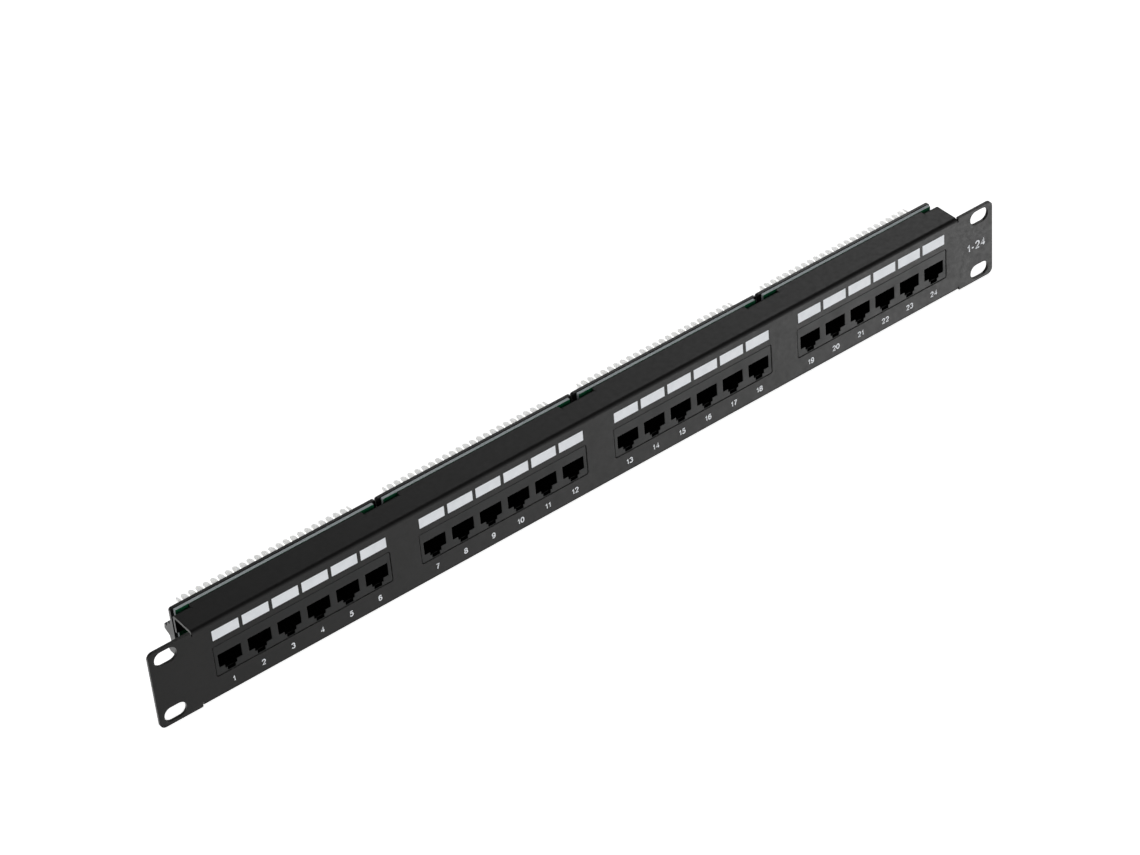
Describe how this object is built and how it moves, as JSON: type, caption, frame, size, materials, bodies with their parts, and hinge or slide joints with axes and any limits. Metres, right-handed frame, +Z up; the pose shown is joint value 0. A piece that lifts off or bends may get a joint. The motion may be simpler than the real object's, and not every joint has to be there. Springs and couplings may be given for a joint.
{
  "type": "patch panel",
  "caption": "Rack-width network patch panel: folded black sheet front with eared ends, a row of modular sockets in four modules, and punch-down strips along the rear.",
  "frame": {"origin": "centre of the mounting plane: the rear face of the front sheet and of its ears, midway between the ends and between the flanges", "axes": "+X to the right seen from the front, +Y to the rear, out of the rear face of the ears, +Z up"},
  "size_m": [0.482, 0.0284, 0.0428],
  "materials": {
    "powder_coat": "matte",
    "black_plastic": "matte",
    "contact_carrier": "matte",
    "green_board": "gloss",
    "ivory_plastic": "satin",
    "zinc_plate": "satin"
  },
  "bodies": {
    "root": {"front_panel": "powder_coat", "jack_housing_1": "black_plastic", "jack_housing_2": "black_plastic", "jack_housing_3": "black_plastic", "jack_housing_4": "black_plastic", "jack_contacts_01": "contact_carrier", "jack_contacts_02": "contact_carrier", "jack_contacts_03": "contact_carrier", "jack_contacts_04": "contact_carrier", "jack_contacts_05": "contact_carrier", "jack_contacts_06": "contact_carrier", "jack_contacts_07": "contact_carrier", "jack_contacts_08": "contact_carrier", "jack_contacts_09": "contact_carrier", "jack_contacts_10": "contact_carrier", "jack_contacts_11": "contact_carrier", "jack_contacts_12": "contact_carrier", "jack_contacts_13": "contact_carrier", "jack_contacts_14": "contact_carrier", "jack_contacts_15": "contact_carrier", "jack_contacts_16": "contact_carrier", "jack_contacts_17": "contact_carrier", "jack_contacts_18": "contact_carrier", "jack_contacts_19": "contact_carrier", "jack_contacts_20": "contact_carrier", "jack_contacts_21": "contact_carrier", "jack_contacts_22": "contact_carrier", "jack_contacts_23": "contact_carrier", "jack_contacts_24": "contact_carrier", "circuit_board_1": "green_board", "circuit_board_2": "green_board", "circuit_board_3": "green_board", "circuit_board_4": "green_board", "idc_strip_upper_1": "ivory_plastic", "idc_strip_upper_2": "ivory_plastic", "idc_strip_upper_3": "ivory_plastic", "idc_strip_upper_4": "ivory_plastic", "idc_strip_lower_1": "ivory_plastic", "idc_strip_lower_2": "ivory_plastic", "idc_strip_lower_3": "ivory_plastic", "idc_strip_lower_4": "ivory_plastic", "rear_cover_1": "black_plastic", "rear_cover_2": "black_plastic", "rear_cover_3": "black_plastic", "rear_cover_4": "black_plastic", "cover_screw_1": "zinc_plate", "cover_screw_2": "zinc_plate", "cover_screw_3": "zinc_plate", "cover_screw_4": "zinc_plate", "cover_screw_5": "zinc_plate", "cover_screw_6": "zinc_plate", "cover_screw_7": "zinc_plate", "cover_screw_8": "zinc_plate"}
  },
  "joints": []
}
